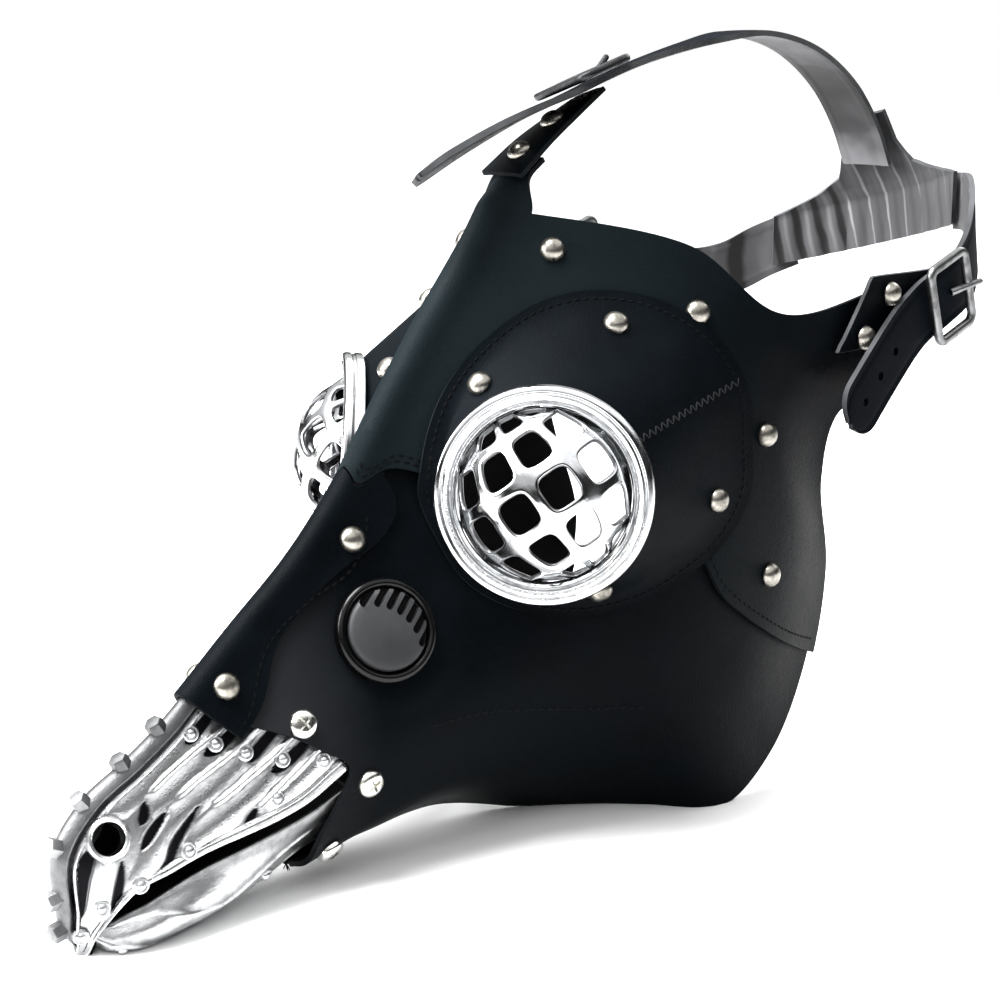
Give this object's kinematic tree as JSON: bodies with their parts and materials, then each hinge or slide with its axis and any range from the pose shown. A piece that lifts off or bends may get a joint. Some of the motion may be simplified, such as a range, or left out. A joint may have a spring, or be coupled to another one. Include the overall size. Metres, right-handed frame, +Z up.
{
  "type": "steampunk plague doctor mask",
  "caption": "Black leather plague doctor mask with a cast chrome beak, domed lattice goggles, cheek valves, dome rivets and a buckled head harness.",
  "frame": {"origin": "middle of the footprint of the whole mask, on the surface it stands on", "axes": "+Z up, -Y along the beak to the front, +X to the wearer's left"},
  "size_m": [0.1764, 0.405, 0.2586],
  "materials": {
    "leather": "smooth black leather, soft sheen",
    "chrome": "polished cast chrome with dark recesses",
    "nickel": "antique nickel",
    "gunmetal": "polished gunmetal",
    "black_plastic": "glossy black",
    "grey_plastic": "matt dark grey"
  },
  "bodies": {
    "root": {"brow_panel": "leather", "nose_strip": "leather", "side_panel_left": "leather", "side_panel_right": "leather", "eye_collar_left": "leather", "eye_collar_right": "leather", "eye_bezel_left": "chrome", "eye_bezel_right": "chrome", "eye_grille_left": "chrome", "eye_grille_right": "chrome", "valve_body_left": "black_plastic", "valve_body_right": "black_plastic", "valve_cap_left": "grey_plastic", "valve_cap_right": "grey_plastic", "beak_upper": "chrome", "beak_lower": "chrome", "rivet_forehead_left": "nickel", "rivet_forehead_right": "nickel", "rivet_brow_left": "nickel", "rivet_brow_right": "nickel", "rivet_temple_left": "nickel", "rivet_temple_right": "nickel", "rivet_cheek_left": "nickel", "rivet_cheek_right": "nickel", "rivet_nose_left": "nickel", "rivet_nose_right": "nickel", "rivet_rim_left": "nickel", "rivet_rim_right": "nickel", "rivet_collar_top_left": "nickel", "rivet_collar_top_right": "nickel", "rivet_collar_front_left": "nickel", "rivet_collar_front_right": "nickel", "rivet_collar_rear_left": "nickel", "rivet_collar_rear_right": "nickel", "rivet_collar_low_left": "nickel", "rivet_collar_low_right": "nickel", "screw_upper_left": "chrome", "screw_upper_right": "chrome", "screw_middle_left": "chrome", "screw_middle_right": "chrome", "screw_lower_left": "chrome", "screw_lower_right": "chrome", "buckle_tab_left": "leather", "buckle_tab_right": "leather", "buckle_tab_top": "leather", "top_strap": "leather", "side_strap_left": "leather", "side_strap_right": "leather", "back_yoke": "leather", "buckle_left": "gunmetal", "buckle_right": "gunmetal", "buckle_top": "gunmetal", "rivet_top_upper": "nickel", "rivet_top_lower": "nickel", "rivet_tab_upper_left": "nickel", "rivet_tab_upper_right": "nickel", "rivet_tab_lower_left": "nickel", "rivet_tab_lower_right": "nickel"}
  },
  "joints": []
}
